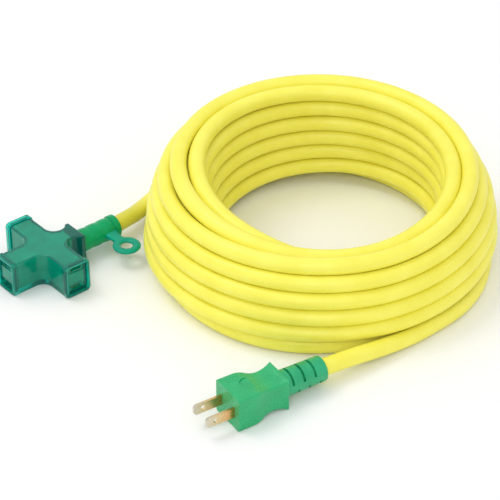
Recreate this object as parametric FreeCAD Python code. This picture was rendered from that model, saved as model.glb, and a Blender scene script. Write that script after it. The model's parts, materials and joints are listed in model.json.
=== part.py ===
"""Extension cord: a soft triple outlet tap, a coiled round cable and a moulded two-blade plug.

Millimetres. +Z is up and z = 0 is the floor that everything lies on. The origin is under the
middle of the tap's cross, and the cable leaves the tap along +X.
"""

import FreeCAD, Part
import math
import os

V = FreeCAD.Vector
UP = V(0, 0, 1)

# How far a cut, or a block that is joined on, runs past the face it meets
OVERLAP = 1.0

# Tap: three outlet arms and one cord arm
TAP_HEIGHT = 22.0
BODY_HEIGHT = 21.0
MID = TAP_HEIGHT / 2
ARM_REACH = 30.5
ARM_WIDTH = 15.2
CORD_ARM_WIDTH = 11.6
INNER_CORNER = 6.5
TOP_ROUND = 1.2
WALL = 2.0
ARMS = {"end": 180, "left": 90, "right": 270}

# Rim round each outlet, and the face that is set into it
RIM_WIDTH = 17.4
RIM_DEPTH = 3.5
RIM_CORNER = 3.0
RIM_ROUND = 0.6
MOUTH_WIDTH = 14.4
MOUTH_HEIGHT = 19.0
MOUTH_CORNER = 1.8
FACE_RECESS = 1.5
FACE_THICK = 1.6
WELL_WIDTH, WELL_HEIGHT, WELL_DEPTH = 10.4, 4.6, 0.7
WELL_CORNER, SLOT_CORNER = 1.0, 0.3

# Ear: the guard at the end of the cord arm
EAR_END = 21.6
EAR_THICK = 2.6
EAR_HALF = 8.6

# Two-pole blade system
POLE_SPACING = 12.7
BLADE_WIDTH = 6.3
BLADE_THICK = 1.5
BLADE_LENGTH = 17.5
BLADE_HOLE = 1.5
BLADE_HOLE_FROM_FACE = 11.7
SLOT_WIDTH, SLOT_HEIGHT = 7.4, 2.2

# Hard core in the tap: two halves that meet at mid height
CORE_BOTTOM = 2.6
CORE_TOP = TAP_HEIGHT - CORE_BOTTOM
CORE_HALF_WIDTH = ARM_WIDTH / 2 - WALL
CORE_CORD_HALF = CORD_ARM_WIDTH / 2 - WALL
CORE_REACH = ARM_REACH - FACE_RECESS - FACE_THICK
CORE_CORD_REACH = 14.5

# Brass inside, as heights above or below mid height
BUS_LOW, BUS_HIGH = 3.4, 4.2
BUS_WIDTH = 5.0
BUS_REACH = 14.1
CLIP_REACH = 26.5
CLIP_WIDTH = 6.0
LEAF = 0.6
LEAF_GAP = 1.4
CLIP_FOOT = 4.1
POCKET_TOP = 7.8
POCKET_HALF = CLIP_WIDTH / 2 + 0.6

# Crimps and insulated wires
WIRE_OFFSET = 2.6
WIRE_RADIUS = 1.7
CRIMP_RADIUS = 1.6
CRIMP_LENGTH = 7.0
TONGUE_LENGTH = 7.0
TONGUE_WIDTH = 4.0
TONGUE_THICK = 0.8

# Neck of the tap
NECK_END = 49.5
NECK_RING = 4.0
NECK_RADIUS = 6.6
NECK_CROWN = 7.0
NECK_RING_RADIUS = 7.3
NECK_RING_ROUND = 0.6
NECK_SEGMENTS = 3

# Hanging loop: a strap from the neck to a flat ring
LOOP_X = 42.0
STRAP_WIDTH = 6.8
LOOP_THICK = 2.6
HINGE_Y = -9.0
HINGE_GAP = 0.3
RING_Y = -21.6
RING_RADIUS = 8.5
EYE_RADIUS = 3.5
EYE_ROUND = 0.5
RING_ROUND = 1.1
STRAP_INTO_RING = 3.0

# Cable
CORD_RADIUS = 5.0
ARC_SHARE = 0.45
TAP_ROUTE = [(36.5, 0, 11), (63.5, 0, 11), (89, 12.5, 8.5), (113, 18.2, 5.4), (138, 14.4, 5)]
PLUG_ROUTE = [(138, -188.3, 5), (115, -188.9, 5.2), (91, -187.2, 7.2)]
PLUG_EXIT_RUN = 26.0

# Coil: its outer shape, higher on the side away from the plug
COIL_CENTRE = (137.3, -87.9)
COIL_OUTER = 106.0
COIL_TOP_OUTER = 92.0
COIL_TOP_INNER = 69.0
COIL_INNER = 62.0
COIL_FOOT = 8.0
COIL_FRONT_HEIGHT = 56.0
COIL_BACK_HEIGHT = 71.0
COIL_BACK_ANGLE = 50.0

# Plug, modelled with its front face at x = 0 and its blades pointing along -X
PLUG_FRONT = (-6.7, -174.8)
PLUG_TURN = -7.5
PLUG_AXIS = 10.5
PLUG_HEIGHT = 21.0
PLUG_HALF_WIDTH = 11.5
PLUG_FLAT = 9.5
WAIST_X = 23.5
WAIST_HALF_WIDTH = 8.8
WAIST_LOW, WAIST_HIGH = 2.2, 18.2
EAR_X = 31.8
PLUG_LENGTH = 33.0
PLUG_EAR_HALF = 9.6
PLUG_EAR_HIGH = 20.0
PLUG_ROUND = 1.2
MARK_X, MARK_RADIUS, MARK_DEPTH = 13.0, 4.8, 0.5
BRIDGE_FRONT, BRIDGE_BACK = 1.5, 8.5
BRIDGE_HALF_WIDTH, BRIDGE_HALF_HEIGHT = 9.0, 5.0
BARREL_OFFSET = 5.6
BARREL_END = 15.5
TAIL_HEIGHT = 2.4
TAIL_END = 10.0
TIP_CHAMFER = 1.3
WIRE_BENDS = ((22.0, BARREL_OFFSET), (31.0, WIRE_OFFSET))

# Strain relief of the plug
RELIEF_END = 60.4
RELIEF_START_RADIUS = 7.8
RELIEF_END_RADIUS = 7.4
RELIEF_BORE_START = 46.4
RELIEF_ROUND = 0.8
SLOT_STARTS = (37.0, 40.6, 44.2, 47.8, 51.4, 55.0)
RELIEF_SLOT = 1.5
RELIEF_SLOT_FLOOR = 5.8
RELIEF_SLOT_SPAN = 150.0


def block(x0, x1, y0, y1, z0, z1):
    """A box between two corners."""
    return Part.makeBox(x1 - x0, y1 - y0, z1 - z0, V(x0, y0, z0))


def rod(radius, x0, x1, y=0.0, z=0.0):
    """A cylinder along X."""
    return Part.makeCylinder(radius, x1 - x0, V(x0, y, z), V(1, 0, 0))


def turned(shape, degrees):
    """A copy turned about the vertical through the origin."""
    copy = shape.copy()
    copy.rotate(V(0, 0, 0), UP, degrees)
    return copy


def circles(shape, radius):
    """The round edges of one radius."""
    rounds = [e for e in shape.Edges if isinstance(e.Curve, Part.Circle)]
    return [e for e in rounds if abs(e.Curve.Radius - radius) < 0.01]


def slab(x0, x1, width, height, corner, middle):
    """A plate across X with rounded corners, centred on y = 0 and z = middle."""
    plate = block(x0, x1, -width / 2, width / 2, middle - height / 2, middle + height / 2)
    along = [e for e in plate.Edges if abs(e.BoundBox.XLength - (x1 - x0)) < 1e-6]
    return plate.makeFillet(corner, along)


def cross(half, cord_half, reach, cord_reach, corner, low, high):
    """The cross of arms with rounded inner corners; the cord arm points along +X."""
    shape = block(-reach, half, -half, half, low, high)
    shape = shape.fuse(block(-half, half, -reach, reach, low, high))
    shape = shape.fuse(block(0, cord_reach, -cord_half, cord_half, low, high))
    for sx, arm_half in ((1, cord_half), (-1, half)):
        for sy in (1, -1):
            middle = V(sx * (half + corner), sy * (arm_half + corner), low)
            xs = sorted((sx * (half - OVERLAP), middle.x))
            ys = sorted((sy * (arm_half - OVERLAP), middle.y))
            web = block(xs[0], xs[1], ys[0], ys[1], low, high)
            shape = shape.fuse(web.cut(Part.makeCylinder(corner, high - low, middle)))
    return shape.removeSplitter()


def ear():
    """The flared guard at the end of the cord arm."""
    start = ARM_WIDTH / 2 + INNER_CORNER
    side = CORD_ARM_WIDTH / 2
    run = EAR_END - EAR_THICK - start
    rise = EAR_HALF - side
    radius = (run**2 + rise**2) / (2 * rise)
    shape = block(start, EAR_END, -EAR_HALF, EAR_HALF, 0, BODY_HEIGHT)
    for sy in (1, -1):
        shape = shape.cut(Part.makeCylinder(radius, BODY_HEIGHT, V(start, sy * (side + radius), 0)))
    return shape


def cavity():
    """The hollow that holds the hard core, as wide as the core."""
    corner = INNER_CORNER + WALL
    return cross(CORE_HALF_WIDTH, CORE_CORD_HALF, CORE_REACH, EAR_END, corner, CORE_BOTTOM, CORE_TOP)


def jacket():
    """Soft outer skin: the cross, its ear and a rim round each outlet, hollow inside."""
    start = ARM_WIDTH / 2 + INNER_CORNER
    reach = ARM_REACH - OVERLAP
    cord_reach = start + OVERLAP
    body = cross(ARM_WIDTH / 2, CORD_ARM_WIDTH / 2, reach, cord_reach, INNER_CORNER, 0, BODY_HEIGHT)
    body = body.fuse(ear()).removeSplitter()
    top = [e for e in body.Edges if e.BoundBox.ZMin > BODY_HEIGHT - 0.01]
    body = body.makeFillet(TOP_ROUND, top)
    rim = slab(ARM_REACH - RIM_DEPTH, ARM_REACH, RIM_WIDTH, TAP_HEIGHT, RIM_CORNER, MID)
    rim = rim.makeFillet(RIM_ROUND, [e for e in rim.Edges if e.BoundBox.XMin > ARM_REACH - 0.01])
    mouth = slab(CORE_REACH, ARM_REACH + OVERLAP, MOUTH_WIDTH, MOUTH_HEIGHT, MOUTH_CORNER, MID)
    for degrees in ARMS.values():
        body = body.fuse(turned(rim, degrees))
    body = body.cut(cavity())
    for degrees in ARMS.values():
        body = body.cut(turned(mouth, degrees))
    return body


def outlet_face(degrees):
    """The face of one outlet: a plate with two blade slots, each in a shallow well."""
    front = CORE_REACH + FACE_THICK
    face = slab(CORE_REACH, front, MOUTH_WIDTH, MOUTH_HEIGHT, MOUTH_CORNER, MID)
    for side in (1, -1):
        height = MID + side * POLE_SPACING / 2
        well_start = front - WELL_DEPTH
        well = slab(well_start, front + OVERLAP, WELL_WIDTH, WELL_HEIGHT, WELL_CORNER, height)
        slot_start = CORE_REACH - OVERLAP
        slot = slab(slot_start, front + OVERLAP, SLOT_WIDTH, SLOT_HEIGHT, SLOT_CORNER, height)
        face = face.cut(well).cut(slot)
    return turned(face, degrees)


def pole(shape, side):
    """A piece made for the upper pole, mirrored to the lower one when side is -1."""
    return shape if side > 0 else shape.mirror(V(0, 0, MID), UP)


def tongue():
    """The flat end of the upper pole's crimp, under its bus bar."""
    half = TONGUE_WIDTH / 2
    high = MID + BUS_LOW
    start = CORE_CORD_REACH - TONGUE_LENGTH
    return block(start, CORE_CORD_REACH, -half, half, high - TONGUE_THICK, high)


def pole_hollow():
    """The room in one core half for its bus bar, clips and crimp tongue."""
    half = BUS_WIDTH / 2
    low, high = MID + BUS_LOW, MID + BUS_HIGH
    room = block(-BUS_REACH, CORE_CORD_REACH, -half, half, low, high)
    room = room.fuse(block(-half, half, -BUS_REACH, BUS_REACH, low, high))
    room = room.fuse(tongue())
    start = BUS_REACH - CLIP_FOOT
    pocket = block(start, CORE_REACH, -POCKET_HALF, POCKET_HALF, low, MID + POCKET_TOP)
    for degrees in ARMS.values():
        room = room.fuse(turned(pocket, degrees))
    return room


def core_half(side):
    """One half of the hard core, with the room for its pole cut out."""
    corner = INNER_CORNER + WALL
    solid = cross(CORE_HALF_WIDTH, CORE_CORD_HALF, CORE_REACH, CORE_CORD_REACH, corner, MID, CORE_TOP)
    return pole(solid.cut(pole_hollow()), side)


def bus_bar(side):
    """The brass strip of one pole, with an arm to each outlet and one to the cable."""
    half = BUS_WIDTH / 2
    low, high = MID + BUS_LOW, MID + BUS_HIGH
    strip = block(-BUS_REACH, CORE_CORD_REACH - OVERLAP, -half, half, low, high)
    strip = strip.fuse(block(-half, half, -BUS_REACH, BUS_REACH, low, high))
    return pole(strip.removeSplitter(), side)


def contact_clip(degrees, side):
    """The sprung brass clip that grips one blade of a plug."""
    half = CLIP_WIDTH / 2
    low = MID + BUS_HIGH
    blade = MID + POLE_SPACING / 2
    top = blade + LEAF_GAP / 2 + LEAF
    clip = block(BUS_REACH - CLIP_FOOT, BUS_REACH, -BUS_WIDTH / 2, BUS_WIDTH / 2, low, low + LEAF)
    clip = clip.fuse(block(BUS_REACH - LEAF, BUS_REACH, -half, half, low, top))
    for leaf in (blade - LEAF_GAP / 2 - LEAF, blade + LEAF_GAP / 2):
        clip = clip.fuse(block(BUS_REACH - LEAF, CLIP_REACH, -half, half, leaf, leaf + LEAF))
    return turned(pole(clip.removeSplitter(), side), degrees)


def tap_crimp(side):
    """The terminal that joins one wire to its bus bar."""
    start = CORE_CORD_REACH
    barrel = rod(CRIMP_RADIUS, start, start + CRIMP_LENGTH, 0, MID + WIRE_OFFSET)
    return pole(tongue().fuse(barrel), side)


def tap_wire(side):
    """One insulated wire from its crimp to the end of the cable's sheath."""
    return rod(WIRE_RADIUS, CORE_CORD_REACH + CRIMP_LENGTH, TAP_ROUTE[0][0], 0, MID + side * WIRE_OFFSET)


def neck_outer():
    """The neck's round outside: soft swellings, then a ring at its end."""
    swell = (NECK_END - NECK_RING - EAR_END) / NECK_SEGMENTS
    edges = [Part.LineSegment(V(EAR_END, 0, 0), V(EAR_END, 0, NECK_RADIUS))]
    for i in range(NECK_SEGMENTS):
        x = EAR_END + i * swell
        crown = V(x + swell / 2, 0, NECK_CROWN)
        edges.append(Part.Arc(V(x, 0, NECK_RADIUS), crown, V(x + swell, 0, NECK_RADIUS)))
    ring_start = NECK_END - NECK_RING
    corners = [(ring_start, NECK_RADIUS), (ring_start, NECK_RING_RADIUS)]
    corners += [(NECK_END, NECK_RING_RADIUS), (NECK_END, 0), (EAR_END, 0)]
    for a, b in zip(corners, corners[1:]):
        edges.append(Part.LineSegment(V(a[0], 0, a[1]), V(b[0], 0, b[1])))
    outline = Part.Wire([e.toShape() for e in edges])
    shape = Part.Face(outline).revolve(V(0, 0, 0), V(1, 0, 0), 360)
    shape = shape.makeFillet(NECK_RING_ROUND, circles(shape, NECK_RING_RADIUS))
    shape.translate(V(0, 0, MID))
    return shape


def neck():
    """The neck with its stub inside the jacket and the strap's lug, bored for cable and wires."""
    half = STRAP_WIDTH / 2
    thick = LOOP_THICK / 2
    lug_end = HINGE_Y + thick + HINGE_GAP
    lug = block(LOOP_X - half, LOOP_X + half, lug_end, OVERLAP - NECK_RADIUS, MID - thick, MID + thick)
    stub = block(CORE_CORD_REACH, EAR_END, -CORE_CORD_HALF, CORE_CORD_HALF, CORE_BOTTOM, CORE_TOP)
    sheath_start = TAP_ROUTE[0][0]
    shape = neck_outer().fuse(lug).fuse(stub)
    shape = shape.cut(rod(CORD_RADIUS, sheath_start, NECK_END + OVERLAP, 0, MID))
    for height in (MID - WIRE_OFFSET, MID + WIRE_OFFSET):
        shape = shape.cut(rod(WIRE_RADIUS, CORE_CORD_REACH - OVERLAP, sheath_start + OVERLAP, 0, height))
    return shape


def eye_lining():
    """The rounded wall of the ring's eye: a straight sleeve between two rounds."""
    outer = EYE_RADIUS + EYE_ROUND
    low, high = MID - LOOP_THICK / 2 + EYE_ROUND, MID + LOOP_THICK / 2 - EYE_ROUND
    lining = Part.makeCylinder(outer, high - low, V(LOOP_X, RING_Y, low))
    lining = lining.cut(Part.makeCylinder(EYE_RADIUS, high - low, V(LOOP_X, RING_Y, low)))
    for z in (low, high):
        lining = lining.fuse(Part.makeTorus(outer, EYE_ROUND, V(LOOP_X, RING_Y, z)))
    return lining


def hang_loop():
    """Strap and ring in one piece; the strap's root is rounded about its hinge line."""
    half = STRAP_WIDTH / 2
    low, high = MID - LOOP_THICK / 2, MID + LOOP_THICK / 2
    ring = Part.makeCylinder(RING_RADIUS, LOOP_THICK, V(LOOP_X, RING_Y, low))
    ring = ring.makeFillet(RING_ROUND, circles(ring, RING_RADIUS))
    strap_start = RING_Y + RING_RADIUS - STRAP_INTO_RING
    strap = block(LOOP_X - half, LOOP_X + half, strap_start, HINGE_Y, low, high)
    shape = ring.fuse(strap).fuse(rod(LOOP_THICK / 2, LOOP_X - half, LOOP_X + half, HINGE_Y, MID))
    flare = Part.makeCylinder(EYE_RADIUS + EYE_ROUND, LOOP_THICK, V(LOOP_X, RING_Y, low))
    return shape.cut(flare).fuse(eye_lining()).removeSplitter()


def route(points):
    """A wire of straight runs joined by tangent arcs, and the arcs' radii."""
    points = [V(*p) for p in points]
    edges, radii = [], []
    start = points[0]
    for before, at, after in zip(points, points[1:], points[2:]):
        back, on = before - at, after - at
        cut = ARC_SHARE * min(back.Length, on.Length)
        back.normalize()
        on.normalize()
        half_turn = (math.pi - back.getAngle(on)) / 2
        radius = cut / math.tan(half_turn)
        inward = back + on
        inward.normalize()
        top = at + inward * (radius / math.cos(half_turn) - radius)
        edges.append(Part.LineSegment(start, at + back * cut))
        edges.append(Part.Arc(at + back * cut, top, at + on * cut))
        radii.append(radius)
        start = at + on * cut
    edges.append(Part.LineSegment(start, points[-1]))
    return Part.Wire([e.toShape() for e in edges]), radii


def tube(points, radius):
    """A round bar along a route."""
    path, radii = route(points)
    ahead = V(*points[1]) - V(*points[0])
    ring = Part.Wire(Part.makeCircle(radius, V(*points[0]), ahead))
    return path.makePipeShell([ring], True, False), path.Length, radii


def coil():
    """The outer shape of the coiled cable: a ring with sloping walls and a tilted top."""
    high = COIL_BACK_HEIGHT
    section = [(COIL_INNER, 0), (COIL_OUTER, 0), (COIL_OUTER, COIL_FOOT), (COIL_TOP_OUTER, high)]
    section += [(COIL_TOP_INNER, high), (COIL_INNER, 0)]
    face = Part.Face(Part.makePolygon([V(r, 0, z) for r, z in section]))
    shape = face.revolve(V(0, 0, 0), UP, 360)
    slope = math.degrees(math.atan((COIL_BACK_HEIGHT - COIL_FRONT_HEIGHT) / (2 * COIL_TOP_OUTER)))
    lid = block(-2 * COIL_OUTER, 2 * COIL_OUTER, -2 * COIL_OUTER, 2 * COIL_OUTER, 0, COIL_OUTER)
    lid.rotate(V(0, 0, 0), V(0, 1, 0), -slope)
    lid.translate(V(0, 0, (COIL_BACK_HEIGHT + COIL_FRONT_HEIGHT) / 2))
    shape = turned(shape.cut(lid), COIL_BACK_ANGLE)
    shape.translate(V(*COIL_CENTRE, 0))
    return shape


def level_arc(a, b):
    """An arc that leaves a along X and ends at b, for outlines in the XY plane."""
    run, rise = b[0] - a[0], b[1] - a[1]
    radius = (run**2 + rise**2) / (2 * rise)
    angle = math.asin(run / radius) / 2
    middle = (a[0] + radius * math.sin(angle), a[1] + radius * (1 - math.cos(angle)))
    return Part.Arc(V(*a, 0), V(*middle, 0), V(*b, 0))


def plug_profile(low, high):
    """A closed outline from two edges, each (front, waist, ear): straight, then in to the waist."""
    edges = []
    for front, waist, ear_edge in (low, high):
        middle = ((PLUG_FLAT + WAIST_X) / 2, (front + waist) / 2)
        edges.append(Part.LineSegment(V(0, front, 0), V(PLUG_FLAT, front, 0)))
        edges.append(level_arc((PLUG_FLAT, front), middle))
        edges.append(level_arc((WAIST_X, waist), middle))
        edges.append(level_arc((WAIST_X, waist), (EAR_X, ear_edge)))
        edges.append(Part.LineSegment(V(EAR_X, ear_edge, 0), V(PLUG_LENGTH, ear_edge, 0)))
    edges.append(Part.LineSegment(V(0, low[0], 0), V(0, high[0], 0)))
    edges.append(Part.LineSegment(V(PLUG_LENGTH, low[2], 0), V(PLUG_LENGTH, high[2], 0)))
    outline = Part.Wire(Part.sortEdges([e.toShape() for e in edges])[0])
    return Part.Face(outline)


def plug_outer():
    """The plug's grip: waisted in plan and from the side, with an ear at the back."""
    edge = (PLUG_HALF_WIDTH, WAIST_HALF_WIDTH, PLUG_EAR_HALF)
    plan = plug_profile([-y for y in edge], edge)
    side = plug_profile((0, WAIST_LOW, 0), (PLUG_HEIGHT, WAIST_HIGH, PLUG_EAR_HIGH))
    side.rotate(V(0, 0, 0), V(1, 0, 0), 90)
    reach = PLUG_HALF_WIDTH + OVERLAP
    side.translate(V(0, reach, 0))
    grip = plan.extrude(V(0, 0, PLUG_HEIGHT)).common(side.extrude(V(0, -2 * reach, 0)))
    grip = grip.makeFillet(PLUG_ROUND, [e for e in grip.Edges if e.BoundBox.XLength > EAR_X / 5])
    mark_floor = V(MARK_X, 0, plug_top(MARK_X) - MARK_DEPTH)
    return grip.cut(Part.makeCylinder(MARK_RADIUS, PLUG_HEIGHT, mark_floor))


def plug_top(x):
    """The height of the grip's top where it starts to fall towards the waist."""
    run, rise = (WAIST_X - PLUG_FLAT) / 2, (PLUG_HEIGHT - WAIST_HIGH) / 2
    radius = (run**2 + rise**2) / (2 * rise)
    return PLUG_HEIGHT - radius + math.sqrt(radius**2 - (x - PLUG_FLAT) ** 2)


def blade(side):
    """One flat blade with its hole, its chamfered tip and the crimp barrel at its back."""
    y = side * POLE_SPACING / 2
    half = BLADE_WIDTH / 2
    thick = BLADE_THICK / 2
    flat = block(-BLADE_LENGTH, BRIDGE_BACK, y - thick, y + thick, PLUG_AXIS - half, PLUG_AXIS + half)
    tip = [e for e in flat.Edges if e.BoundBox.XMax < 0.01 - BLADE_LENGTH and e.BoundBox.YLength > 1]
    flat = flat.makeChamfer(TIP_CHAMFER, tip)
    low, high = PLUG_AXIS - TAIL_HEIGHT / 2, PLUG_AXIS + TAIL_HEIGHT / 2
    tail = block(BRIDGE_BACK - OVERLAP, TAIL_END, y - thick, y + thick, low, high)
    barrel = rod(CRIMP_RADIUS, BRIDGE_BACK, BARREL_END, side * BARREL_OFFSET, PLUG_AXIS)
    hole_start = V(-BLADE_HOLE_FROM_FACE, y - thick, PLUG_AXIS)
    hole = Part.makeCylinder(BLADE_HOLE, BLADE_THICK, hole_start, V(0, 1, 0))
    return flat.fuse(tail).fuse(barrel).cut(hole).removeSplitter()


def plug_wire(side):
    """One insulated wire from its barrel to the end of the cable's sheath."""
    bends = [(x, side * y, PLUG_AXIS) for x, y in WIRE_BENDS]
    first = (BARREL_END, side * BARREL_OFFSET, PLUG_AXIS)
    last = (RELIEF_BORE_START, side * WIRE_OFFSET, PLUG_AXIS)
    return tube([first, *bends, last], WIRE_RADIUS)[0]


def relief_slot(x, up):
    """The wedge cut out for one slot, on the upper side of the relief or the lower."""
    axis = V(1, 0, 0)
    start = V(x, 0, PLUG_AXIS)
    wedge = Part.makeCylinder(RELIEF_START_RADIUS + OVERLAP, RELIEF_SLOT, start, axis, RELIEF_SLOT_SPAN)
    wedge = wedge.cut(rod(RELIEF_SLOT_FLOOR, x, x + RELIEF_SLOT, 0, PLUG_AXIS))
    middle = wedge.Solids[0].CenterOfMass
    now = math.degrees(math.atan2(middle.z - PLUG_AXIS, middle.y))
    wedge.rotate(start, axis, (90 if up else -90) - now)
    return wedge


def relief():
    """The tapered sleeve behind the plug, with slots by turns above and below."""
    length = RELIEF_END - PLUG_LENGTH
    start = V(PLUG_LENGTH, 0, PLUG_AXIS)
    cone = Part.makeCone(RELIEF_START_RADIUS, RELIEF_END_RADIUS, length, start, V(1, 0, 0))
    cone = cone.makeFillet(RELIEF_ROUND, circles(cone, RELIEF_END_RADIUS))
    shape = cone.cut(rod(CORD_RADIUS, RELIEF_BORE_START, RELIEF_END + OVERLAP, 0, PLUG_AXIS))
    for i, x in enumerate(SLOT_STARTS):
        shape = shape.cut(relief_slot(x, up=i % 2 == 0))
    return shape


def plug_parts():
    """Every piece of the plug, in the plug's own place."""
    blades = {"plug_blade_left": blade(1), "plug_blade_right": blade(-1)}
    wires = {"plug_wire_left": plug_wire(1), "plug_wire_right": plug_wire(-1)}
    half = BRIDGE_HALF_WIDTH
    low, high = PLUG_AXIS - BRIDGE_HALF_HEIGHT, PLUG_AXIS + BRIDGE_HALF_HEIGHT
    bridge = block(BRIDGE_FRONT, BRIDGE_BACK, -half, half, low, high)
    body = plug_outer().cut(bridge)
    sleeve = relief()
    for inner in (*blades.values(), *wires.values()):
        bridge = bridge.cut(inner)
        body = body.cut(inner)
        sleeve = sleeve.cut(inner)
    return {"plug_body": body, "plug_bridge": bridge, "plug_strain_relief": sleeve, **blades, **wires}


def placed(shape):
    """A piece of the plug, moved to where the plug lies."""
    copy = turned(shape, PLUG_TURN)
    copy.translate(V(*PLUG_FRONT, 0))
    return copy


def along_plug(x):
    """A point on the plug's axis, x behind its front face, where the plug lies."""
    turn = math.radians(PLUG_TURN)
    return (PLUG_FRONT[0] + x * math.cos(turn), PLUG_FRONT[1] + x * math.sin(turn), PLUG_AXIS)


def tap_parts():
    """Every piece of the tap."""
    parts = {"tap_jacket": jacket(), "tap_neck": neck(), "hang_loop": hang_loop()}
    for name, degrees in ARMS.items():
        parts[f"outlet_face_{name}"] = outlet_face(degrees)
    for level, side in (("upper", 1), ("lower", -1)):
        parts[f"core_{level}"] = core_half(side)
        parts[f"bus_bar_{level}"] = bus_bar(side)
        parts[f"tap_crimp_{level}"] = tap_crimp(side)
        parts[f"tap_wire_{level}"] = tap_wire(side)
        for name, degrees in ARMS.items():
            parts[f"contact_{name}_{level}"] = contact_clip(degrees, side)
    return parts


def cord_parts():
    """The cable: its run at the tap, its coil and its run at the plug."""
    bore = along_plug(RELIEF_BORE_START)
    plug_side = [*PLUG_ROUTE, along_plug(RELIEF_BORE_START + PLUG_EXIT_RUN), bore]
    parts = {"cord_coil": coil()}
    for name, points in (("cord_tap_run", TAP_ROUTE), ("cord_plug_run", plug_side)):
        shape, length, radii = tube(points, CORD_RADIUS)
        share = shape.Volume / (math.pi * CORD_RADIUS**2 * length)
        print(name, "length", round(length, 1), "radii", [round(r) for r in radii])
        print(name, "volume over section times length", round(share, 4))
        parts[name] = shape
    return parts


def main():
    os.makedirs("parts", exist_ok=True)
    parts = {**tap_parts(), **cord_parts()}
    for name, shape in plug_parts().items():
        parts[name] = placed(shape)
    for name, shape in parts.items():
        if not shape.isValid() or len(shape.Solids) != 1:
            print("CHECK", name, "valid", shape.isValid(), "solids", len(shape.Solids))
        shape.exportStep(f"parts/{name}.step")
    print(len(parts), "nodes")


main()
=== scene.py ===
"""Extension cord: a soft triple outlet tap, a coiled yellow cable and a moulded plug.

Metres, in the frame of the CAD model: the tap lies at the origin and +Z is up. The coil is
worked out in millimetres, as the CAD source has it, and scaled when its route is made.
"""

import json
import math

import bmesh
import bpy
import numpy as np
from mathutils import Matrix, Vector


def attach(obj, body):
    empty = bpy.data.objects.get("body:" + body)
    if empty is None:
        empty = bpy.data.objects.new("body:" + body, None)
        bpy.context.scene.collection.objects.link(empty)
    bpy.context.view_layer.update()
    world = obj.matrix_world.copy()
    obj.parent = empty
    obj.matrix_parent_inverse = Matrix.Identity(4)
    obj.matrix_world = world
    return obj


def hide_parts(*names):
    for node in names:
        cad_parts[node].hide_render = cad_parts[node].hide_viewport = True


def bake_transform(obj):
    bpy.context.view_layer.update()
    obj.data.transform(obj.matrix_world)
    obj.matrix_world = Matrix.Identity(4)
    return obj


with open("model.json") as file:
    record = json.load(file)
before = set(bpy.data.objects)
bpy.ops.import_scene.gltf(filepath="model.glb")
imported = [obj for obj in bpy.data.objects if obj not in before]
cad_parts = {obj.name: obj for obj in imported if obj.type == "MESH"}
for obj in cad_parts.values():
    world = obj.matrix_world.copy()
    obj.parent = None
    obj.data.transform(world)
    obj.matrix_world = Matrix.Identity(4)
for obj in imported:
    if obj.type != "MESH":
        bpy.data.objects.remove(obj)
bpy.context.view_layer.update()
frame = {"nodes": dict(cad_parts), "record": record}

MM = 0.001

# Camera
CAMERA_AT = (-0.5404, -0.8294, 0.7033)
CAMERA_AIM = (0.0915, -0.0764, 0.015)
CAMERA_LENS = 146.9

# Tap, in metres
MID = 0.011
LOOP_X = 0.042
RING_Y = -0.0216
VOXEL = 0.0003
CORE_CLEARANCE = 0.00015

# Cable
CORD_DIAMETER = 0.010
TAP_RUN = [(0.0365, 0, 0.011), (0.0635, 0, 0.011), (0.089, 0.0125, 0.0085), (0.113, 0.0182, 0.0054)]
PLUG_RUN = [(0.115, -0.1889, 0.0052), (0.091, -0.1872, 0.0072)]
PLUG_RUN_END = (0.0724, 0.0464)

# Where painted shade darkens the sheath beside the tap, along X and along Y
PAINTED_SHADE_X = (0.064, 0.084)
PAINTED_SHADE_Y = (-0.014, -0.004)

# Plug
PLUG_FRONT = (-0.0067, -0.1748)
PLUG_TURN = math.radians(-7.5)
PLUG_AXIS = 0.0105
BLADE_LENGTH = 0.0175

# Coil, in millimetres
COIL_CENTRE = (137.3, -87.9)
STEPS = 36
TURNS = 17.5
FIRST_BEARING = 90
FRONT_BEARING = -130
FLOOR_HEIGHT = 5.0
COIL_START = (102.3, 5.0)
COIL_END = (100.4, 5.0)
# Shares of a turn over which the cable moves to its next ring, and eases to its two ends
SWITCH = 0.3
END_EASE = 0.12

# Settling of the coil: how far apart the strands are kept, the share of an overlap that one
# round takes out, and the share of the rounds in which the moves relax and are smoothed
STRAND_GAP = 9.8
PUSH = 0.35
EARLY = 0.6
RELAX = 0.985
SMOOTH_EARLY, SMOOTH_LATE = 0.25, 0.05

# Light of the studio
WORLD_STRENGTH = 0.86

# The coil is a heap of strands in five columns. Each column has the place of its first strand
# and of its last, as (radius, height) at the coil's front, left, back and right, the number of
# strands in it, and the power by which it leans over as it climbs
COLUMNS = {
    "floor": (((100, 5), (100, 5), (101, 5), (87, 5)), ((88, 5), (93, 5), (93, 5), (79, 5)), 2, 1),
    "core": (((76, 5), (78, 5), (88, 14), (85, 14)), ((85, 32), (82, 52), (88, 44), (85, 38)), 4, 1),
    "inner": (((64, 5), (66, 6), (78, 12), (76, 11)), ((79, 49), (75, 61), (78, 64), (76, 58)), 6, 1),
    "outer": (
        ((101, 15), (100, 23), (97, 27), (99, 24)), ((89, 52), (85, 62), (87, 66), (86, 61)), 5, 2,
    ),
    "last": (
        ((100, 5), (101, 13), (98, 16), (94, 5)), ((100, 5), (101, 13), (98, 16), (94, 5)), 1, 1,
    ),
}

# The order in which the cable fills them: the column, its strands from the first to the last
# laid, and the share of a turn at which the cable moves on from each
WINDING = [
    ("floor", (0, 1), 0.8), ("core", (0,), 0.6), ("inner", (0, 1), 0.6), ("core", (1, 2), 0.6),
    ("inner", (2, 3), 0.6), ("core", (3,), 0.6), ("inner", (4, 5), 0.74),
    ("outer", (4, 3, 2, 1, 0), 0.74), ("last", (0,), 1),
]


def along_plug(x):
    """A point on the plug's axis, x behind its front face."""
    c, s = math.cos(PLUG_TURN), math.sin(PLUG_TURN)
    return (PLUG_FRONT[0] + x * c, PLUG_FRONT[1] + x * s, PLUG_AXIS)


def link(obj):
    bpy.context.scene.collection.objects.link(obj)
    return obj


# --- Camera -------------------------------------------------------------------------------

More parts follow.
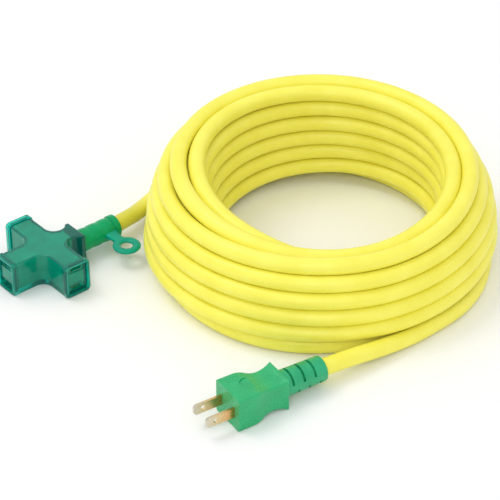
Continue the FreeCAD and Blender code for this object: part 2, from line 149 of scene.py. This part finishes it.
def make_camera():
    data = bpy.data.cameras.new("camera")
    data.lens = CAMERA_LENS
    data.sensor_width = 36
    camera = link(bpy.data.objects.new("camera", data))
    camera.location = CAMERA_AT
    look = Vector(CAMERA_AIM) - Vector(CAMERA_AT)
    camera.rotation_euler = look.to_track_quat("-Z", "Y").to_euler()
    bpy.context.scene.camera = camera


# --- Cable --------------------------------------------------------------------------------

def smooth(t):
    """Eases from 0 to 1 as t does."""
    t = min(max(t, 0.0), 1.0)
    return t * t * (3 - 2 * t)


def strand(column, level):
    """Radius and height of one strand of a column at the coil's four sides."""
    first, last, count, power = COLUMNS[column]
    first, last = np.array(first, float), np.array(last, float)
    share = level / max(count - 1, 1)
    return first + (last - first) * (share**power, share)


def winding():
    """Every ring of the coil in turn, with the turn at which the cable leaves it."""
    laid = [(column, level, leave) for column, levels, leave in WINDING for level in levels]
    return [(strand(column, level), i + leave) for i, (column, level, leave) in enumerate(laid)]


def ring_at(sides, bearing):
    """Radius and height of one ring of the coil at a bearing, eased between its four sides."""
    front, left, back, right = sides
    turn = math.radians(FRONT_BEARING - bearing)
    even = (front + left + back + right) / 4
    once = (front - back) / 2 * math.cos(turn) + (left - right) / 2 * math.sin(turn)
    twice = (front - left + back - right) / 4 * math.cos(2 * turn)
    return even + once + twice


def wanted(turn, rings):
    """Where the cable would lie at this turn if its neighbours made room for it."""
    bearing = FIRST_BEARING - 360 * turn
    point = ring_at(rings[0][0], bearing)
    for (_, leave), (sides, _) in zip(rings, rings[1:]):
        share = smooth((turn - leave) / SWITCH + 0.5)
        point = point * (1 - share) + ring_at(sides, bearing) * share
    for end, away in ((COIL_START, turn), (COIL_END, TURNS - turn)):
        share = 1 - smooth(away / END_EASE)
        point = point * (1 - share) + np.array(end) * share
    return point


def pushed_apart(points, index, inside):
    """How far each strand is pushed by the ones that it would cut into, bearing by bearing."""
    rows = index.shape[1]
    here = points[index]
    here[~inside] = 1e4 * (1 + np.arange((~inside).sum()))[:, None]
    apart = here[:, :, None] - here[:, None, :]
    distance = np.sqrt((apart**2).sum(-1)) + 1e-9
    over = np.clip(STRAND_GAP - distance, 0, None)
    over[:, np.arange(rows), np.arange(rows)] = 0
    return (apart / distance[..., None] * over[..., None]).sum(2) * PUSH


def settled(rounds=400):
    """Radius and height of every point of the coil, with the strands side by side."""
    count = round(TURNS * STEPS) + 1
    rings = winding()
    want = np.array([wanted(i / STEPS, rings) for i in range(count)])
    rows = -(-count // STEPS)
    place = np.arange(rows * STEPS).reshape(rows, STEPS).T
    inside = place < count
    index = np.minimum(place, count - 1)
    move = np.zeros_like(want)
    for k in range(rounds):
        late = k > rounds * EARLY
        step = np.zeros_like(want)
        step[place[inside]] = pushed_apart(want + move, index, inside)[inside]
        move = move * (1.0 if late else RELAX) + step
        even = (move[:-2] + move[2:]) / 2
        move[1:-1] += (SMOOTH_LATE if late else SMOOTH_EARLY) * (even - move[1:-1])
        move[:, 1] = np.maximum(want[:, 1] + move[:, 1], FLOOR_HEIGHT) - want[:, 1]
        move[0] = move[-1] = 0
    return want + move


def coil_points():
    """The points of the coil, in metres."""
    points = []
    for i, (radius, height) in enumerate(settled()):
        bearing = math.radians(FIRST_BEARING - 360 * i / STEPS)
        x = COIL_CENTRE[0] + radius * math.cos(bearing)
        y = COIL_CENTRE[1] + radius * math.sin(bearing)
        points.append((x * MM, y * MM, height * MM))
    return points


def cord_points():
    """The cable's route: out of the tap, round the coil and into the plug."""
    return TAP_RUN + coil_points() + PLUG_RUN + [along_plug(x) for x in PLUG_RUN_END]


def cord_route():
    """The cable's line: one open NURBS spline through its whole route."""
    points = cord_points()
    route = bpy.data.curves.new("cable_route", "CURVE")
    route.dimensions = "3D"
    route.bevel_resolution = 6
    route.use_fill_caps = True
    spline = route.splines.new("NURBS")
    spline.points.add(len(points) - 1)
    for point, place in zip(spline.points, points):
        point.co = (*place, 1)
    spline.order_u = 3
    spline.use_endpoint_u = True
    spline.resolution_u = 3
    return route


def mesh_of(route, thickness):
    """The mesh that Blender makes of the route, with no thickness only its line."""
    route.bevel_depth = thickness / 2
    holder = bpy.data.objects.new("cable_holder", route)
    mesh = bpy.data.meshes.new_from_object(holder)
    bpy.data.objects.remove(holder)
    return mesh


def make_cord():
    route = cord_route()
    path = [tuple(vertex.co) for vertex in mesh_of(route, 0).vertices]
    mesh = mesh_of(route, CORD_DIAMETER)
    mesh.polygons.foreach_set("use_smooth", [True] * len(mesh.polygons))
    cable = link(bpy.data.objects.new("cable", mesh))
    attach(cable, "cord_set")
    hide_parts("cord_tap_run", "cord_coil", "cord_plug_run")
    return cable


# --- Materials ----------------------------------------------------------------------------

def srgb(r, g, b):
    """A colour given as eight-bit sRGB, as the linear one that a shader wants."""
    def linear(v):
        v /= 255
        return v / 12.92 if v <= 0.04045 else ((v + 0.055) / 1.055) ** 2.4
    return (linear(r), linear(g), linear(b), 1)


class Material:
    """A node material around one Principled shader, with object coordinates to hand."""

    def __init__(self, name, **sockets):
        self.made = bpy.data.materials.new(name)
        self.made.use_nodes = True
        self.tree = self.made.node_tree
        self.shader = self.tree.nodes["Principled BSDF"]
        for socket, value in sockets.items():
            self.shader.inputs[socket.replace("_", " ")].default_value = value
        self.place = self.node("ShaderNodeTexCoord").outputs["Object"]

    def node(self, kind, **settings):
        node = self.tree.nodes.new(kind)
        for name, value in settings.items():
            setattr(node, name, value)
        return node

    def join(self, source, target):
        self.tree.links.new(source, target)

    def noise(self, scale, detail=2.0, stretch=None):
        """Smooth noise over the surface; stretch squeezes it along the axes."""
        noise = self.node("ShaderNodeTexNoise")
        noise.inputs["Scale"].default_value = scale
        noise.inputs["Detail"].default_value = detail
        source = self.place
        if stretch:
            squeeze = self.node("ShaderNodeMapping")
            squeeze.inputs["Scale"].default_value = stretch
            self.join(source, squeeze.inputs["Vector"])
            source = squeeze.outputs["Vector"]
        self.join(source, noise.inputs["Vector"])
        return noise.outputs["Fac"]

    def ramp(self, source, *stops):
        """A colour ramp with (position, colour) stops."""
        ramp = self.node("ShaderNodeValToRGB")
        elements = ramp.color_ramp.elements
        while len(elements) < len(stops):
            elements.new(0.5)
        for element, (position, colour) in zip(elements, stops):
            element.position = position
            element.color = colour
        self.join(source, ramp.inputs["Fac"])
        return ramp.outputs["Color"]

    def ranged(self, source, low, high, out_low, out_high):
        ranged = self.node("ShaderNodeMapRange")
        limits = {"From Min": low, "From Max": high, "To Min": out_low, "To Max": out_high}
        for name, value in limits.items():
            ranged.inputs[name].default_value = value
        self.join(source, ranged.inputs["Value"])
        return ranged.outputs["Result"]

    def mixed(self, share, a, b):
        """Colour a, turning into b as share goes from 0 to 1."""
        mix = self.node("ShaderNodeMix", data_type="RGBA")
        self.join(share, mix.inputs["Factor"])
        for colour, socket in ((a, mix.inputs[6]), (b, mix.inputs[7])):
            if isinstance(colour, tuple):
                socket.default_value = colour
            else:
                self.join(colour, socket)
        return mix.outputs[2]

    def colour(self, source):
        self.join(source, self.shader.inputs["Base Color"])

    def rough(self, source, low, high):
        self.join(self.ranged(source, 0.3, 0.7, low, high), self.shader.inputs["Roughness"])

    def bump(self, source, height, strength=1.0):
        """Relief of the surface, with its height in metres."""
        bump = self.node("ShaderNodeBump")
        bump.inputs["Distance"].default_value = height
        bump.inputs["Strength"].default_value = strength
        self.join(source, bump.inputs["Height"])
        self.join(bump.outputs["Normal"], self.shader.inputs["Normal"])


def cable_material():
    """Lemon yellow sheath with a satin skin, and painted shade that darkens it where it leaves the
    tap.
    """
    made = Material("cable_yellow", Specular_IOR_Level=0.45)
    mottle = made.noise(60, 3)
    fine = made.noise(900, 2)
    unshaded = made.ramp(mottle, (0.35, srgb(241, 233, 84)), (0.65, srgb(246, 239, 98)))
    # Painted shade: near the tap the sheath's colour is mixed towards a darker, duller yellow.
    axes = made.node("ShaderNodeSeparateXYZ")
    made.join(made.place, axes.inputs["Vector"])
    along = made.ranged(axes.outputs["X"], *PAINTED_SHADE_X, 1, 0)
    across = made.ranged(axes.outputs["Y"], *PAINTED_SHADE_Y, 0, 1)
    both = made.node("ShaderNodeMath", operation="MULTIPLY")
    made.join(along, both.inputs[0])
    made.join(across, both.inputs[1])
    made.colour(made.mixed(both.outputs["Value"], unshaded, srgb(216, 210, 74)))
    made.rough(fine, 0.34, 0.44)
    made.bump(fine, 0.00006)
    return made.made


def plastic(name, shade, light, low, high, grain, relief=0.00003, **sockets):
    """Soft moulded plastic: a slight mottle in the colour and a fine satin grain."""
    made = Material(name, **sockets)
    fine = made.noise(grain, 2)
    made.colour(made.ramp(made.noise(120, 3), (0.35, shade), (0.65, light)))
    made.rough(fine, low, high)
    made.bump(fine, relief)
    return made.made


def blade_material():
    """Nickel plate at the tips that warms to brass towards the plug."""
    made = Material("blade_metal", Metallic=1.0)
    ahead = Vector((math.cos(PLUG_TURN), math.sin(PLUG_TURN), 0))
    dot = made.node("ShaderNodeVectorMath", operation="DOT_PRODUCT")
    dot.inputs[1].default_value = ahead
    made.join(made.place, dot.inputs[0])
    start = ahead.dot(Vector((*PLUG_FRONT, 0)))
    share = made.ranged(dot.outputs["Value"], start - BLADE_LENGTH, start, 0, 1)
    nickel, worn, brass = srgb(214, 208, 190), srgb(226, 200, 150), srgb(232, 160, 88)
    tint = made.ramp(share, (0.0, nickel), (0.45, worn), (1.0, brass))
    streaks = made.noise(300, 2, stretch=(1, 1, 12))
    made.colour(tint)
    made.rough(streaks, 0.2, 0.34)
    made.bump(streaks, 0.00002)
    return made.made


def make_materials():
    skin = plastic(
        "translucent_skin", srgb(6, 212, 188), srgb(16, 222, 198), 0.06, 0.12, 700,
        Transmission_Weight=0.85, IOR=1.45, Specular_IOR_Level=0.22,
    )
    return {
        "translucent_skin": skin,
        "neck_green": plastic("neck_green", srgb(0, 150, 92), srgb(0, 160, 102), 0.16, 0.24, 800,
                              Specular_IOR_Level=0.22),
        "loop_green": plastic("loop_green", srgb(0, 150, 120), srgb(0, 160, 130), 0.16, 0.24, 800,
                              Specular_IOR_Level=0.22),
        "core_plastic": plastic("core_plastic", srgb(8, 206, 176), srgb(24, 220, 192), 0.4, 0.5, 500),
        "brass": plastic("brass", srgb(196, 160, 84), srgb(220, 184, 104), 0.25, 0.35, 600,
                         Metallic=1.0),
        "wire_black": plastic("wire_black", srgb(24, 24, 26), srgb(38, 38, 40), 0.4, 0.5, 600),
        "wire_white": plastic("wire_white", srgb(226, 224, 216), srgb(238, 236, 230), 0.4, 0.5, 600),
        "bridge_plastic": plastic("bridge_plastic", srgb(70, 72, 74), srgb(88, 90, 92), 0.4, 0.5, 600),
        "plug_green": plastic("plug_green", srgb(24, 166, 102), srgb(30, 174, 108), 0.24, 0.34, 800,
                              relief=0.00001),
        "relief_green": plastic("relief_green", srgb(24, 160, 104), srgb(34, 170, 114), 0.2, 0.3, 420,
                                relief=0.0003),
        "blade_metal": blade_material(),
        "cable_yellow": cable_material(),
    }


def dress_nodes(materials):
    """Gives every CAD node the material of its record slot."""
    for part in frame["record"]["subparts"]:
        for slot in frame["nodes"][part["node"]].material_slots:
            slot.material = materials[part["material_slot"]]
    for slot in frame["nodes"]["plug_strain_relief"].material_slots:
        slot.material = materials["relief_green"]


make_camera()
cable = make_cord()
materials = make_materials()
cable.data.materials.append(materials["cable_yellow"])
dress_nodes(materials)


# --- Hanging loop -------------------------------------------------------------------------

# The strap, in millimetres: distance from the tap's middle line, half width, half thickness
STRAP = [
    (-5.4, 4.6, 2.7), (-6.4, 4.3, 2.2), (-7.3, 4.0, 1.85), (-8.4, 3.7, 1.6),
    (-10.0, 3.45, 1.4), (-12.0, 3.4, 1.35), (-14.0, 3.6, 1.3), (-16.0, 3.8, 1.2),
]
RING_BAND = (6.0, 2.5, 1.35)


def closed_tube(mesh, sections, wraps):
    """Skins a row of point loops; the last joins the first if it wraps, else both ends are capped."""
    loops = [[mesh.verts.new(point) for point in section] for section in sections]
    pairs = list(zip(loops, loops[1:]))
    if wraps:
        pairs.append((loops[-1], loops[0]))
    for a, b in pairs:
        for i in range(len(a)):
            j = (i + 1) % len(a)
            mesh.faces.new((a[i], a[j], b[j], b[i]))
    if not wraps:
        mesh.faces.new(reversed(loops[0]))
        mesh.faces.new(loops[-1])


def strap_section(y, half, thick, corners=32):
    """A loop of points round the strap: a rectangle with well rounded corners."""
    points = []
    for i in range(corners):
        c, s = (f(2 * math.pi * i / corners) for f in (math.cos, math.sin))
        x = half * math.copysign(abs(c) ** 0.5, c)
        z = thick * math.copysign(abs(s) ** 0.5, s)
        points.append((LOOP_X + x * MM, y * MM, MID + z * MM))
    return points


def band_section(turn, corners=24):
    """A loop of points round the ring's band at one turn of the ring."""
    middle, half, thick = RING_BAND
    points = []
    for i in range(corners):
        angle = 2 * math.pi * i / corners
        reach = (middle + half * math.cos(angle)) * MM
        x, y = LOOP_X + reach * math.cos(turn), RING_Y + reach * math.sin(turn)
        points.append((x, y, MID + thick * math.sin(angle) * MM))
    return points


def make_hang_loop(material):
    """Strap and ring joined as one soft moulding."""
    mesh = bmesh.new()
    closed_tube(mesh, [strap_section(*row) for row in STRAP], wraps=False)
    closed_tube(mesh, [band_section(2 * math.pi * i / 72) for i in range(72)], wraps=True)
    bmesh.ops.recalc_face_normals(mesh, faces=mesh.faces)
    data = bpy.data.meshes.new("hang_loop_soft")
    mesh.to_mesh(data)
    mesh.free()
    rough = link(bpy.data.objects.new("hang_loop_rough", data))
    rough.modifiers.new("join", "REMESH").voxel_size = VOXEL
    soften = rough.modifiers.new("soften", "SMOOTH")
    soften.factor = 0.5
    soften.iterations = 6
    graph = bpy.context.evaluated_depsgraph_get()
    joined = bpy.data.meshes.new_from_object(rough.evaluated_get(graph))
    bpy.data.objects.remove(rough)
    joined.polygons.foreach_set("use_smooth", [True] * len(joined.polygons))
    loop = link(bpy.data.objects.new("hang_loop_moulding", joined))
    joined.materials.clear()
    joined.materials.append(material)
    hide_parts("hang_loop")
    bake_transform(loop)


make_hang_loop(materials["loop_green"])


# --- Core under the clear skin ------------------------------------------------------------

def make_core(side, material):
    """One half of the core, a hair smaller than its solid so that it clears the skin."""
    node = frame["nodes"][f"core_{side}"]
    mesh = bmesh.new()
    mesh.from_mesh(node.data)
    bmesh.ops.remove_doubles(mesh, verts=mesh.verts, dist=1e-6)
    mesh.normal_update()
    for vertex in mesh.verts:
        vertex.co -= vertex.normal * CORE_CLEARANCE
    data = bpy.data.meshes.new(f"core_{side}_half")
    mesh.to_mesh(data)
    mesh.free()
    data.materials.clear()
    data.materials.append(material)
    half = link(bpy.data.objects.new(f"core_{side}_half", data))
    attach(half, "cord_set")
    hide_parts(node.name)


for side in ("upper", "lower"):
    make_core(side, materials["core_plastic"])


# --- Stage --------------------------------------------------------------------------------

def make_floor():
    mesh = bpy.data.meshes.new("floor")
    half = 3.0
    low = -0.0002
    corners = [(-half, -half, low), (half, -half, low), (half, half, low), (-half, half, low)]
    mesh.from_pydata(corners, [], [(0, 1, 2, 3)])
    floor = link(bpy.data.objects.new("floor", mesh))
    made = Material("floor_white", Roughness=0.9)
    made.colour(made.ramp(made.noise(3, 2), (0.3, srgb(244, 244, 244)), (0.7, srgb(248, 248, 248))))
    mesh.materials.append(made.made)


def area_light(name, place, size, power):
    data = bpy.data.lights.new(name, "AREA")
    data.size = size
    data.energy = power
    light = link(bpy.data.objects.new(name, data))
    light.location = place
    light.rotation_euler = (Vector(CAMERA_AIM) - Vector(place)).to_track_quat("-Z", "Y").to_euler()


def make_lights():
    world = bpy.data.worlds.new("studio")
    world.use_nodes = True
    back = world.node_tree.nodes["Background"]
    back.inputs["Color"].default_value = (1, 1, 1, 1)
    back.inputs["Strength"].default_value = WORLD_STRENGTH
    bpy.context.scene.world = world
    area_light("key", (-0.6, 0.9, 2.4), 1.2, 16)
    area_light("side", (-1.3, -1.4, 1.6), 0.8, 9)


make_floor()
make_lights()
bpy.context.scene.view_settings.view_transform = "Standard"

bpy.context.view_layer.update()
